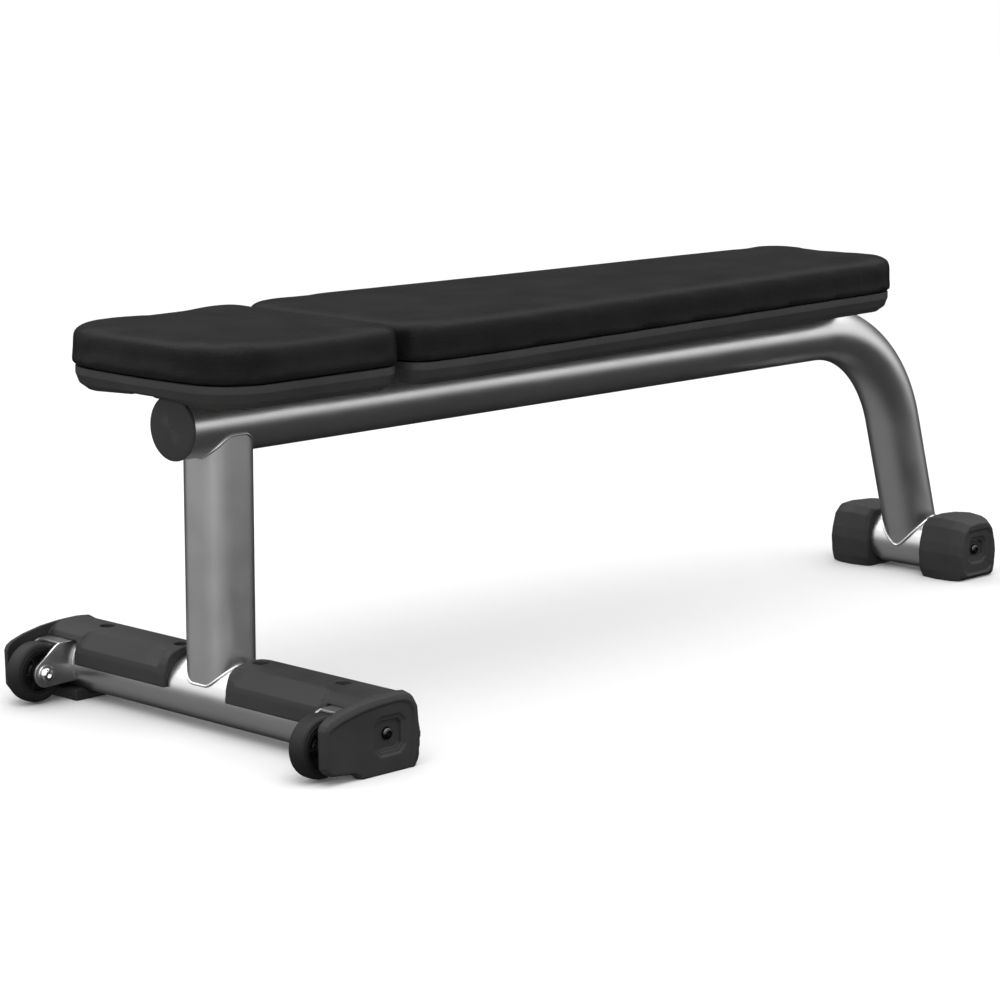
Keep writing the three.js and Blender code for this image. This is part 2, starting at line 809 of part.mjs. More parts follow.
SIDES.forEach(({ name, sign }) => {
  const facing = [0, 0, sign > 0 ? 0 : Math.PI];
  const plugHead = GUARD_OUTER_Y - POCKET_FLOOR + GAP;
  const rearHead = REAR_FOOT_SECTIONS.at(-1).y - POCKET_FLOOR + GAP;

  add(`foot_guard_${name}`, sign > 0 ? guard : mirrored(guard), "rubber");
  add(`rear_foot_${name}`, sign > 0 ? foot : mirrored(foot), "rubber");
  add(`front_plug_${name}`, endPlug(), "cap", [0, sign * FRONT_TUBE_HALF, FRONT_TUBE_Z], facing);
  add(`rear_plug_${name}`, endPlug(), "cap",
    [REAR_TUBE_X, sign * REAR_TUBE_HALF, REAR_TUBE_Z], facing);
  add(`front_end_bolt_${name}`, buttonBolt(7, 4.2, BOLT_R, 26), "blackSteel",
    [0, sign * plugHead, FRONT_TUBE_Z], facing);
  add(`rear_end_bolt_${name}`, buttonBolt(7, 4.2, BOLT_R, 24), "blackSteel",
    [REAR_TUBE_X, sign * rearHead, REAR_TUBE_Z], facing);
  SCREW_Y.forEach((y, index) => {
    add(`guard_screw_${index + 1}_${name}`, buttonBolt(6.5, 2.6, 3, 14), "blackSteel",
      [0, sign * y, SCREW_SEAT_Z + GAP], [Math.PI / 2, 0, 0]);
  });

  const wheelSpot = [AXLE_X, sign * WHEEL_Y, AXLE_Z];
  const cheekY = FORK_OPENING / 2 + FORK_PLATE + GAP;
  const inward = [AXLE_X, sign * (WHEEL_Y - cheekY), AXLE_Z];
  const outward = [AXLE_X, sign * (WHEEL_Y + cheekY), AXLE_Z];
  add(`wheel_fork_${name}`, wheelFork(), "frame", [0, sign * WHEEL_Y, 0]);
  add(`wheel_tyre_${name}`, tyre(), "tyre", wheelSpot);
  add(`wheel_hub_${name}`, hub(), "hub", wheelSpot);
  add(`axle_bolt_${name}`, axleBolt(), "steel", inward, facing);
  add(`axle_washer_${name}`, axleWasher(), "steel", inward, facing);
  add(`axle_nut_${name}`, axleNut(), "steel", outward, facing);
});

const frontX = Math.min(...roundedShape(SHORT_PAD.corners).map(([x]) => x));
const rearX = REAR_TUBE_X + Math.max(...REAR_FOOT_SECTIONS.map(({ half }) => half));
bench.position.x = -(frontX + rearX) / 2;

const part = new THREE.Group();
part.add(bench);

export default part;
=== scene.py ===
import math

import bmesh
import bpy
import numpy as np
from mathutils import Matrix, Vector


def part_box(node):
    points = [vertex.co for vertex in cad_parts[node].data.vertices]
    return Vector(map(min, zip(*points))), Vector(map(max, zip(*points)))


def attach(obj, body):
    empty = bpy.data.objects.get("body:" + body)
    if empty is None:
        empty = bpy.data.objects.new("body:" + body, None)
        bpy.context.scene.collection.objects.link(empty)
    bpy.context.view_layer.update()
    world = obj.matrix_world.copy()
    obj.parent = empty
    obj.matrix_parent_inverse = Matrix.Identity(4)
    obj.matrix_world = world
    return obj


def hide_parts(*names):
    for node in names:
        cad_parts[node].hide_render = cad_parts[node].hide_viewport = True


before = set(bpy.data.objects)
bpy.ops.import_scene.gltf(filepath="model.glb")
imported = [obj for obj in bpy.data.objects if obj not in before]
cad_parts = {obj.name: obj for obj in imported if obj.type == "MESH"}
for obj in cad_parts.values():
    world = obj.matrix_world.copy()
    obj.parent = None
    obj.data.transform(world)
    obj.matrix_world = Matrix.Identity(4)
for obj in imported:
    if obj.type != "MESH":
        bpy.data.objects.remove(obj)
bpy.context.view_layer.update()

MM = 0.001
SIDES = (("left", 1), ("right", -1))
ALONG_X, ALONG_Y, ALONG_Z = Vector((1, 0, 0)), Vector((0, 1, 0)), Vector((0, 0, 1))


# ---------------------------------------------------------------- places from the CAD

def middle(node):
    low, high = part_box(node)
    return (low + high) / 2


TUBE_R = 35 * MM
TUBE_WALL = 3 * MM
POST_HALF_X, POST_HALF_Y, POST_CORNER = 33 * MM, 34 * MM, 24 * MM
POST_ROOT = 0.5 * MM
LEG_ROOT = 0.7 * MM
BEND_R = 180 * MM
LEG_TURN = math.radians(73.4)
BEAM_CORNER = 1130 * MM
POST = middle("front_post")
FRONT_TUBE = middle("front_cross_tube")
REAR_TUBE = middle("rear_cross_tube")
BEAM_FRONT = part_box("main_tube")[0].x
BEAM_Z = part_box("main_tube")[1].z - TUBE_R
SEAM_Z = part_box("long_pad_pan")[1].z
CUSHION_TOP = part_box("long_pad_cushion")[1].z


# ---------------------------------------------------------------- meshes

def new_mesh(name, points, faces):
    mesh = bpy.data.meshes.new(name)
    mesh.from_pydata([tuple(p) for p in points], [], faces)
    work = bmesh.new()
    work.from_mesh(mesh)
    bmesh.ops.remove_doubles(work, verts=work.verts, dist=1e-7)
    bmesh.ops.recalc_face_normals(work, faces=work.faces)
    work.to_mesh(mesh)
    work.free()
    piece = bpy.data.objects.new(name, mesh)
    bpy.context.scene.collection.objects.link(piece)
    return piece


def skin(name, rings, wrap=False):
    """A closed skin over rings with equal point counts; wrap joins the last ring to the first"""
    count = len(rings[0])
    points = [p for ring in rings for p in ring]
    faces = []
    spans = len(rings) if wrap else len(rings) - 1
    for k in range(spans):
        here, there = k * count, (k + 1) % len(rings) * count
        for i in range(count):
            j = (i + 1) % count
            faces.append((here + i, here + j, there + j, there + i))
    if not wrap:
        faces.append(tuple(range(count)))
        faces.append(tuple(range((len(rings) - 1) * count, len(points))))
    return new_mesh(name, points, faces)


def turned(name, profile, origin, axis, sides=64, wrap=False):
    """A body of revolution: (radius, height) points about an axis through origin"""
    turn = axis.to_track_quat("Z", "Y").to_matrix()
    rings = []
    for radius, height in profile:
        ring = []
        for i in range(sides):
            angle = 2 * math.pi * i / sides
            spot = Vector((radius * math.cos(angle), radius * math.sin(angle), height))
            ring.append(Vector(origin) + turn @ spot)
        rings.append(ring)
    return skin(name, rings, wrap)


def slab(name, outline, low_y, high_y):
    """An outline in X and Z, extruded along Y"""
    rings = [[Vector((x, y, z)) for x, z in outline] for y in (low_y, high_y)]
    return skin(name, rings)


def baked(piece):
    """Applies the piece's modifiers to its mesh"""
    graph = bpy.context.evaluated_depsgraph_get()
    mesh = bpy.data.meshes.new_from_object(piece.evaluated_get(graph))
    piece.modifiers.clear()
    piece.data = mesh
    return piece


def combined(piece, tool, operation):
    modifier = piece.modifiers.new("combine", "BOOLEAN")
    modifier.operation = operation
    modifier.solver = "EXACT"
    modifier.object = tool
    baked(piece)
    bpy.data.objects.remove(tool)
    return piece


def softened(piece, width, segments=3, angle=30):
    modifier = piece.modifiers.new("edges", "BEVEL")
    modifier.width = width
    modifier.segments = segments
    modifier.limit_method = "ANGLE"
    modifier.angle_limit = math.radians(angle)
    modifier.use_clamp_overlap = True
    return baked(piece)


def swept(name, points, radii, closed):
    """A round bead along a line of points"""
    curve = bpy.data.curves.new(name, "CURVE")
    curve.dimensions = "3D"
    curve.bevel_depth = 1.0
    curve.bevel_resolution = 3
    curve.use_fill_caps = True
    line = curve.splines.new("POLY")
    line.points.add(len(points) - 1)
    for spot, place, radius in zip(line.points, points, radii):
        spot.co = (*place, 1)
        spot.radius = radius
    line.use_cyclic_u = closed
    holder = bpy.data.objects.new(name, curve)
    bpy.context.scene.collection.objects.link(holder)
    graph = bpy.context.evaluated_depsgraph_get()
    mesh = bpy.data.meshes.new_from_object(holder.evaluated_get(graph))
    bpy.data.objects.remove(holder)
    piece = bpy.data.objects.new(name, mesh)
    bpy.context.scene.collection.objects.link(piece)
    return piece


def done(piece, look, nodes=(), body="frame", crease=38):
    """Shades a finished piece, gives it its material and fixes it to its body"""
    slot_name, material = look
    piece.data.materials.clear()
    piece.data.materials.append(material)
    piece.data.shade_smooth()
    piece.data.set_sharp_from_angle(angle=math.radians(crease))
    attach(piece, body)
    if nodes:
        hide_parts(*nodes)
    return piece


def repaint(look, *nodes):
    """Gives CAD nodes that stay in view their finished material"""
    for name in nodes:
        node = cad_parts[name]
        node.data.materials.clear()
        node.data.materials.append(look[1])


# ---------------------------------------------------------------- materials

class Look:
    """A material in the making: one Principled shader fed by object coordinates in metres"""

    def __init__(self, name, colour, roughness, metallic=0.0):
        self.material = bpy.data.materials.new(name)
        self.material.use_nodes = True
        self.tree = self.material.node_tree
        self.shader = self.tree.nodes["Principled BSDF"]
        self.place = self.node("ShaderNodeTexCoord").outputs["Object"]
        self.set("Base Color", (*colour, 1))
        self.set("Roughness", roughness)
        self.set("Metallic", metallic)

    def node(self, kind, **settings):
        made = self.tree.nodes.new(kind)
        for key, value in settings.items():
            setattr(made, key, value)
        return made

    def set(self, socket, value):
        self.shader.inputs[socket].default_value = value

    def feed(self, source, target):
        self.tree.links.new(source, target)

    def stretched(self, scale):
        mapping = self.node("ShaderNodeMapping")
        mapping.inputs["Scale"].default_value = scale
        self.feed(self.place, mapping.inputs["Vector"])
        return mapping.outputs["Vector"]

    def noise(self, size, detail=3.0, place=None):
        """Soft noise whose patches are about size metres across"""
        made = self.node("ShaderNodeTexNoise")
        made.inputs["Scale"].default_value = 1 / size
        made.inputs["Detail"].default_value = detail
        self.feed(place or self.place, made.inputs["Vector"])
        return made.outputs["Fac"]

    def cells(self, size, feature="F1", place=None):
        """Pebbles about size metres across"""
        made = self.node("ShaderNodeTexVoronoi", feature=feature)
        made.inputs["Scale"].default_value = 1 / size
        self.feed(place or self.place, made.inputs["Vector"])
        return made.outputs["Distance"]

    def edges(self, low=0.52, high=0.62):
        """1 on worn outer edges, 0 elsewhere"""
        made = self.node("ShaderNodeNewGeometry")
        return self.ranged(made.outputs["Pointiness"], low, high, 0, 1)

    def ranged(self, value, low, high, to_low, to_high):
        made = self.node("ShaderNodeMapRange", clamp=True)
        self.feed(value, made.inputs["Value"])
        for socket, number in zip((1, 2, 3, 4), (low, high, to_low, to_high)):
            made.inputs[socket].default_value = number
        return made.outputs["Result"]

    def maths(self, operation, a, b):
        made = self.node("ShaderNodeMath", operation=operation)
        for socket, value in zip(made.inputs, (a, b)):
            if isinstance(value, (int, float)):
                socket.default_value = value
            else:
                self.feed(value, socket)
        return made.outputs[0]

    def blend(self, factor, a, b):
        """Mixes two colours, or a colour source and a colour, by a 0 to 1 source"""
        made = self.node("ShaderNodeMix", data_type="RGBA")
        self.feed(factor, made.inputs["Factor"])
        for socket, value in (("A", a), ("B", b)):
            target = [s for s in made.inputs if s.name == socket and s.type == "RGBA"][0]
            if isinstance(value, tuple):
                target.default_value = (*value, 1)
            else:
                self.feed(value, target)
        return [s for s in made.outputs if s.type == "RGBA"][0]

    def colour(self, source):
        self.feed(source, self.shader.inputs["Base Color"])

    def roughness(self, source):
        self.feed(source, self.shader.inputs["Roughness"])

    def bump(self, *layers):
        """Surface relief from (height source, depth in metres) layers"""
        normal = None
        for height, depth in layers:
            made = self.node("ShaderNodeBump")
            made.inputs["Distance"].default_value = depth
            made.inputs["Strength"].default_value = 1.0
            self.feed(height, made.inputs["Height"])
            if normal:
                self.feed(normal, made.inputs["Normal"])
            normal = made.outputs["Normal"]
        self.feed(normal, self.shader.inputs["Normal"])


def grey(value):
    return (value, value, value)


def vinyl_look():
    """Black upholstery vinyl: pebbled grain, faint creases and a dull sheen"""
    look = Look("vinyl", grey(0.008), 0.5)
    pebbles = look.cells(1.8 * MM, "SMOOTH_F1")
    fine = look.noise(0.45 * MM, 2)
    creases = look.noise(7 * MM, 4, look.stretched((1, 1, 0.35)))
    patches = look.noise(60 * MM, 3)
    share = look.ranged(patches, 0.35, 0.65, 0, 1)
    look.colour(look.blend(share, grey(0.0055), grey(0.0078)))
    look.roughness(look.ranged(patches, 0.3, 0.7, 0.34, 0.42))
    look.set("Specular IOR Level", 0.05)
    look.set("Sheen Weight", 0.01)
    look.set("Sheen Roughness", 0.45)
    look.set("Sheen Tint", (*grey(0.6), 1))
    look.bump((creases, 0.25 * MM), (pebbles, 0.3 * MM), (fine, 0.05 * MM))
    return "vinyl", look.material


def moulded_look(slot_name, name, value, roughness, grain, depth, gloss=0.22):
    """Moulded plastic or rubber: spark-eroded grain, scuffed edges and a little dust"""
    look = Look(name, grey(value), roughness)
    look.set("Specular IOR Level", gloss)
    speckle = look.noise(grain, 2)
    clouds = look.noise(45 * MM, 4)
    worn = look.maths("MULTIPLY", look.edges(), look.noise(9 * MM, 4))
    tone = look.blend(look.ranged(clouds, 0.3, 0.7, 0, 1), grey(value * 0.9), grey(value * 1.12))
    look.colour(look.blend(worn, tone, grey(value * 2.1)))
    look.roughness(look.ranged(clouds, 0.3, 0.7, roughness - 0.06, roughness + 0.05))
    look.bump((speckle, depth), (look.noise(18 * MM, 2), 0.12 * MM))
    return slot_name, look.material


def paint_look():
    """Silver metallic powder coat: flakes, orange peel and slightly darker handling marks"""
    look = Look("silver_paint", grey(0.5), 0.3, 0.97)
    flakes = look.cells(0.35 * MM)
    clouds = look.noise(80 * MM, 4)
    tone = look.blend(look.ranged(clouds, 0.3, 0.7, 0, 1), grey(0.47), grey(0.52))
    look.colour(look.blend(look.ranged(flakes, 0.1, 0.75, 0, 0.35), tone, grey(0.66)))
    look.roughness(look.ranged(look.noise(30 * MM, 5), 0.3, 0.7, 0.28, 0.33))
    look.set("Coat Weight", 0.25)
    look.set("Coat Roughness", 0.22)
    look.bump((look.noise(2.2 * MM, 2), 0.01 * MM), (flakes, 0.004 * MM))
    return "frame_paint", look.material


def metal_look(slot_name, name, value, roughness, scratch=0.004 * MM):
    """Plated steel with fine turning marks"""
    look = Look(name, value, roughness, 1.0)
    marks = look.noise(0.4 * MM, 3, look.stretched((1, 1, 6)))
    look.roughness(look.ranged(marks, 0.3, 0.7, roughness, roughness + 0.12))
    look.bump((marks, scratch))
    return slot_name, look.material


def plywood_look():
    """Plywood coloured near black as painted shade for the shaded gap under the pads: long grain
    along X, with layers showing at the edges
    """
    # The near-black colours below are painted shade for the gap under the pads; the grain and the
    # glue layers are the wood's own
    look = Look("plywood_darkened_as_painted_shade", (0.03, 0.026, 0.022), 0.62)
    grain = look.noise(3 * MM, 5, look.stretched((0.06, 1, 1)))
    layers = look.node("ShaderNodeTexWave", bands_direction="Z")
    layers.inputs["Scale"].default_value = 90
    look.feed(look.place, layers.inputs["Vector"])
    pale, dark, glue = (0.034, 0.03, 0.026), (0.02, 0.018, 0.015), (0.05, 0.04, 0.03)
    wood = look.blend(look.ranged(grain, 0.3, 0.7, 0, 1), pale, dark)
    look.colour(look.blend(look.ranged(layers.outputs["Fac"], 0, 1, 0, 0.4), wood, glue))
    look.bump((grain, 0.08 * MM))
    return "plywood", look.material


VINYL = vinyl_look()
PAN = moulded_look("pan_plastic", "pan_plastic", 0.021, 0.46, 0.6 * MM, 0.02 * MM)
RUBBER = moulded_look("foot_rubber", "foot_rubber", 0.018, 0.6, 0.55 * MM, 0.05 * MM)
CAP = moulded_look("cap_plastic", "cap_plastic", 0.022, 0.5, 0.5 * MM, 0.03 * MM)
TYRE = moulded_look("tyre_rubber", "tyre_rubber", 0.006, 0.62, 0.7 * MM, 0.04 * MM)
HUB = moulded_look("hub_plastic", "hub_plastic", 0.006, 0.42, 0.8 * MM, 0.02 * MM)
PAINT = paint_look()
CHROME = metal_look("chrome_steel", "chrome_steel", grey(0.72), 0.1)
ZINC = metal_look("zinc_steel", "zinc_steel", (0.55, 0.56, 0.57), 0.28)
BLACK_STEEL = metal_look("black_steel", "black_steel", grey(0.045), 0.16)
PLYWOOD = plywood_look()


# ---------------------------------------------------------------- frame tubes and welds

WELD_STEP = 1.6 * MM
LEG_BEAD, POST_BEAD, FORK_BEAD = 1.9 * MM, 1.5 * MM, 1.3 * MM


def ring_about(centre, across, up, radius, sides=96):
    ring = []
    for i in range(sides):
        angle = 2 * math.pi * i / sides
        ring.append(centre + radius * (math.cos(angle) * across + math.sin(angle) * up))
    return ring


def leg_direction():
    return Vector((math.cos(LEG_TURN), 0, -math.sin(LEG_TURN)))


def onto_rear_tube(point):
    """Slides a point along the leg to the weld's root, just off the rear cross tube's surface"""
    along = leg_direction()
    away = Vector((point.x - REAR_TUBE.x, 0, point.z - REAR_TUBE.z))
    b = away.dot(along)
    reach = -b - math.sqrt(b * b - away.length_squared + (TUBE_R + LEG_ROOT) ** 2)
    return point + reach * along


def beam_rings(radius):
    corner_x = POST.x + BEAM_CORNER
    bend_x = corner_x - BEND_R * math.tan(LEG_TURN / 2)
    steps = 40
    rings = []
    stations = [(BEAM_FRONT, 0.0)] + [(bend_x, LEG_TURN * k / steps) for k in range(steps + 1)]
    for x, turn in stations:
        centre = Vector((x + BEND_R * math.sin(turn), 0, BEAM_Z - BEND_R * (1 - math.cos(turn))))
        up = Vector((math.sin(turn), 0, math.cos(turn)))
        rings.append(ring_about(centre, ALONG_Y, up, radius))
    rings.append([onto_rear_tube(point) for point in rings[-1]])
    return rings


def main_tube():
    outside = beam_rings(TUBE_R)
    inside = beam_rings(TUBE_R - TUBE_WALL)
    done(skin("main_tube.fine", outside + inside[::-1], wrap=True), PAINT, ["main_tube"])
    weld("weld_rear_leg", outside[-1], LEG_BEAD)


def ripple(size, count, share):
    """Bead radii that swell and thin a little along a weld"""
    return [size * (1 + share * math.sin(2.1 * i)) for i in range(count)]


def weld(name, points, size):
    """A fillet of weld metal, slightly rippled, along a line where two tubes meet"""
    spaced = respaced([Vector(p) for p in points], WELD_STEP, closed=True)
    done(swept(name, spaced, ripple(size, len(spaced), 0.05), True), PAINT, crease=60)


def respaced(points, step, closed):
    """The same line with points at equal steps"""
    line = points + points[:1] if closed else points
    lengths = [0.0]
    for a, b in zip(line, line[1:]):
        lengths.append(lengths[-1] + (b - a).length)
    count = max(int(lengths[-1] / step), 3)
    marks = [lengths[-1] * i / count for i in range(count if closed else count + 1)]
    columns = [np.interp(marks, lengths, [p[axis] for p in line]) for axis in range(3)]
    return [Vector(spot) for spot in zip(*columns)]


def cross_tube(node, centre):
    low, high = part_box(node)
    bore = TUBE_R - TUBE_WALL
    profile = [(TUBE_R, low.y), (TUBE_R, high.y), (bore, high.y), (bore, low.y)]
    spot = Vector((centre.x, 0, centre.z))
    done(turned(f"{node}.fine", profile, spot, ALONG_Y, 96, True), PAINT, [node])


def rounded_box(half_x, half_y, radius, steps=12):
    outline = []
    for sign_x, sign_y, first in ((1, 1, 0), (-1, 1, 90), (-1, -1, 180), (1, -1, 270)):
        for k in range(steps + 1):
            angle = math.radians(first + 90 * k / steps)
            outline.append((
                sign_x * (half_x - radius) + radius * math.cos(angle),
                sign_y * (half_y - radius) + radius * math.sin(angle),
            ))
    return outline


def post_rings(inset):
    """The post's two ends, coped to the cross tube below and to the beam above"""
    outline = rounded_box(POST_HALF_X - inset, POST_HALF_Y - inset, POST_CORNER - inset)
    foot, head = [], []
    reach = TUBE_R + POST_ROOT
    for x, y in outline:
        foot.append(Vector((POST.x + x, y, FRONT_TUBE.z + math.sqrt(reach**2 - x * x))))
        head.append(Vector((POST.x + x, y, BEAM_Z - math.sqrt(reach**2 - y * y))))
    return foot, head


def front_post():
    foot, head = post_rings(0)
    inner_foot, inner_head = post_rings(TUBE_WALL)
    rings = [foot, head, inner_head, inner_foot]
    done(skin("front_post.fine", rings, wrap=True), PAINT, ["front_post"])
    weld("weld_post_head", head, POST_BEAD)
    weld("weld_post_foot", foot, POST_BEAD)


def beam_end_cap():
    """Plastic cap: a shallow dome, a rounded rim and a shadow groove behind it"""
    profile = [(r * MM, h * MM) for r, h in (
        (0.01, 5.2), (12, 5.1), (22, 4.75), (30, 4.1), (33.2, 3.6), (34.6, 3.0), (35.4, 2.0),
        (35.6, 0.8), (35.6, -0.2), (34.4, -0.3), (34.4, -1.2), (31.6, -1.2), (31.6, -19),
        (29, -19), (29, -2), (0.01, -2),
    )]
    spot = Vector((BEAM_FRONT - 1.3 * MM, 0, BEAM_Z))
    done(turned("beam_end_cap.fine", profile, spot, -ALONG_X, 96), CAP, ["beam_end_cap"])


# ---------------------------------------------------------------- cushions and pans

# Corners of the pads as (x from the post, y, bend radius) in mm, counterclockwise
SHORT_PAD = [(-117, 0, 420), (-110, -142, 62), (145, -142, 28), (145, 142, 28), (-110, 142, 62)]
LONG_PAD = [
    (158, -143, 26), (262, -147, 300), (1049, -105, 46),
    (1049, 105, 46), (262, 147, 300), (158, 143, 26),
]
# A cushion before it swells: how far its side stands outside the outline, and its shoulder, in mm
FOAM_OVERHANG = 2.2
FOAM_SHOULDER = 11.0
FOAM_TOP = CUSHION_TOP - 0.4 * MM
SWELL = 2.2 * MM
CROWN = 1.0 * MM
CLOTH_FRAMES = 20


def pad_outline(corners, inset, steps=16):
    """The rounded outline of a pad, drawn inside its corners, in metres"""
    spots = [Vector((x, y)) for x, y, _ in corners]
    points = []
    for i, (here, (_, _, bend)) in enumerate(zip(spots, corners)):
        inward = (here - spots[i - 1]).normalized()
        outward = (spots[(i + 1) % len(spots)] - here).normalized()
        side_in, side_out = Vector((-inward.y, inward.x)), Vector((-outward.y, outward.x))
        centre = here + (side_in + side_out) * bend / (1 + side_in.dot(side_out))
        sweep = math.atan2(inward.cross(outward), inward.dot(outward))
        start = math.atan2(-side_in.y, -side_in.x)
        for k in range(steps + 1):
            angle = start + sweep * k / steps
            x = centre.x + (bend - inset) * math.cos(angle)
            y = centre.y + (bend - inset) * math.sin(angle)
            points.append((POST.x + x * MM, y * MM))
    return points


def pad_rings(corners, profile, steps=16):
    rings = []
    for inset, z in profile:
        rings.append([Vector((x, y, z)) for x, y in pad_outline(corners, inset, steps)])
    return rings


def foam_profile():
    """(inset in mm, z in m) up the side of a cushion: a crisp foot, a full side, a round shoulder"""
    side = -FOAM_OVERHANG
    profile = [(side + 0.2, SEAM_Z + 0.3 * MM), (side, SEAM_Z + 8 * MM)]
    for k in range(9):
        angle = math.radians(90 * k / 8)
        inset = side + FOAM_SHOULDER * (1 - math.cos(angle))
        profile.append((inset, FOAM_TOP - FOAM_SHOULDER * MM * (1 - math.sin(angle))))
    return profile


def remeshed(piece, voxel):
    modifier = piece.modifiers.new("voxels", "REMESH")
    modifier.mode = "VOXEL"
    modifier.voxel_size = voxel
    modifier.adaptivity = 0
    return baked(piece)


def smoothed(piece, times, factor=0.5):
    modifier = piece.modifiers.new("smooth", "SMOOTH")
    modifier.factor = factor
    modifier.iterations = times
    return baked(piece)


def coordinates(mesh):
    flat = np.empty(len(mesh.vertices) * 3, np.float32)
    mesh.vertices.foreach_get("co", flat)
    return flat.reshape(-1, 3)


def inflated(piece, held_below, furthest):
    """Lets the vinyl swell under pressure over the foam, held along its foot"""
    rest = coordinates(piece.data).copy()
    held = [int(i) for i in np.nonzero(rest[:, 2] < held_below)[0]]
    piece.vertex_groups.new(name="held").add(held, 1.0, "REPLACE")
    cloth = piece.modifiers.new("cloth", "CLOTH")
    cloth.settings.vertex_group_mass = "held"
    cloth.settings.use_pressure = True
    cloth.settings.uniform_pressure_force = 4
    cloth.settings.effector_weights.gravity = 0
    cloth.settings.quality = 4
    scene = bpy.context.scene
    for number in range(1, CLOTH_FRAMES + 1):
        scene.frame_set(number)
    graph = bpy.context.evaluated_depsgraph_get()
    moved = coordinates(piece.evaluated_get(graph).data)
    shift = moved - rest
    length = np.linalg.norm(shift, axis=1, keepdims=True)
    shift *= np.minimum(1, furthest / np.maximum(length, 1e-9))
    piece.modifiers.clear()
    piece.vertex_groups.clear()
    piece.data.vertices.foreach_set("co", (rest + shift).ravel())
    scene.frame_set(1)
    return piece


def crowned(piece, corners, rise):
    """Lifts the top in a shallow crown that dies out at the edges"""
    half = max(y for _, y, _ in corners) * MM
    mesh = piece.data
    spots = coordinates(mesh)
    across = np.clip(1 - (spots[:, 1] / half) ** 2, 0, 1)
    low, high = spots[:, 0].min(), spots[:, 0].max()
    along = np.clip(1 - (2 * (spots[:, 0] - low) / (high - low) - 1) ** 6, 0, 1)
    share = np.clip((spots[:, 2] - SEAM_Z) / (CUSHION_TOP - SEAM_Z), 0, 1)
    spots[:, 2] += rise * across * along * share**2
    mesh.vertices.foreach_set("co", spots.ravel())
    mesh.update()
    return piece


def cushion(node, corners):
    piece = skin(f"{node}.fine", pad_rings(corners, foam_profile()))
    remeshed(piece, 5 * MM)
    smoothed(piece, 2)
    inflated(piece, SEAM_Z + 3 * MM, SWELL)
    smoothed(piece, 3)
    crowned(piece, corners, CROWN)
    modifier = piece.modifiers.new("finer", "SUBSURF")
    modifier.levels = 1
    baked(piece)
    done(piece, VINYL, [node], crease=180)


def pan(node, corners):
    """Trim under a cushion: a bright upright band over two bevelled facets, and an inner lip"""
    profile = [(inset, z * MM) for inset, z in (
        (24, 371.6), (15.6, 371.5), (14.8, 371.7), (6.4, 378.0), (5.6, 378.9), (2.5, 387.6),
        (2.0, 388.6), (2.0, 396.2), (2.6, 396.7), (12.6, 396.7), (12.6, 378.4), (24, 378.4),
    )]
    piece = skin(f"{node}.fine", pad_rings(corners, profile, 24), wrap=True)
    if node.startswith("short"):
        notched(piece)
    done(piece, PAN, [node], crease=12)


def notched(piece):
    """Lifts the trim's lower edge in front, over the end cap, with slanted ends"""
    front = min(x for x, _ in pad_outline(SHORT_PAD, 0))
    spots = coordinates(piece.data)
    ramp = np.clip((32 * MM - np.abs(spots[:, 1])) / (16 * MM), 0, 1)
    near = np.clip((front + 60 * MM - spots[:, 0]) / (15 * MM), 0, 1)
    low = np.clip((382 * MM - spots[:, 2]) / (9 * MM), 0, 1)
    spots[:, 2] += 4.8 * MM * ramp * near * low
    piece.data.vertices.foreach_set("co", spots.ravel())
    piece.data.update()


# ---------------------------------------------------------------- rubber feet and guards

def moulding(node, voxel, rounding, keep):
    """A rubber moulding with the CAD part's form and softly rounded edges"""
    piece = bpy.data.objects.new(f"{node}.fine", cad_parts[node].data.copy())
    bpy.context.scene.collection.objects.link(piece)
    remeshed(piece, voxel)
    smoothed(piece, rounding)
    modifier = piece.modifiers.new("fewer", "DECIMATE")
    modifier.ratio = keep
    return baked(piece)


def mirror_of(piece, name):
    mesh = piece.data.copy()
    mesh.transform(Matrix.Scale(-1, 4, ALONG_Y))
    mesh.flip_normals()
    copy = bpy.data.objects.new(name, mesh)
    bpy.context.scene.collection.objects.link(copy)
    return copy


def mouldings():
    voxel = 1.1 * MM
    rounding, keep = 2, 0.5
    for kind in ("foot_guard", "rear_foot"):
        left = moulding(f"{kind}_left", voxel, rounding, keep)
        right = mirror_of(left, f"{kind}_right.fine")
        done(left, RUBBER, [f"{kind}_left"], crease=180)
        done(right, RUBBER, [f"{kind}_right"], crease=180)


# ---------------------------------------------------------------- wheels and forks

def wheel(side):
    body = f"wheel_{side}"
    centre = middle(f"wheel_tyre_{side}")
    tread = [(23.3, -10), (24.4, -10.7), (26.6, -11), (27.2, -10.5), (28.2, -10.5), (28.8, -11)]
    tread += [(30.2, -10.6), (31.8, -9.6), (33, -8), (33.7, -6), (34, -3)]
    profile = [(r * MM, h * MM) for r, h in tread + [(r, -h) for r, h in tread[::-1]]]
    tyre = turned(f"wheel_tyre_{side}.fine", profile, centre, ALONG_Y, 96, True)
    done(tyre, TYRE, [f"wheel_tyre_{side}"], body)

    half = [(5.1, -16.7), (9.6, -16.7), (10.6, -16), (11, -5), (12, -4.2), (19.4, -4.2)]
    half += [(20.4, -5), (20.8, -9.6), (21.6, -10), (22.6, -10), (23, -9.4)]
    profile = [(r * MM, h * MM) for r, h in half + [(r, -h) for r, h in half[::-1]]]
    hub = turned(f"wheel_hub_{side}.fine", profile, centre, ALONG_Y, 96, True)
    for k in range(6):
        angle = math.radians(60 * k)
        rib = rounded_box(5.2 * MM, 1.2 * MM, 0.6 * MM, 3)
        turn = Matrix.Rotation(angle, 3, "Y")
        rings = []
        for y in (-8.6 * MM, 8.6 * MM):
            rings.append([centre + turn @ Vector((x + 15.7 * MM, y, z)) for x, z in rib])
        hub = combined(hub, skin("rib", rings), "UNION")
    done(hub, HUB, [f"wheel_hub_{side}"], body)


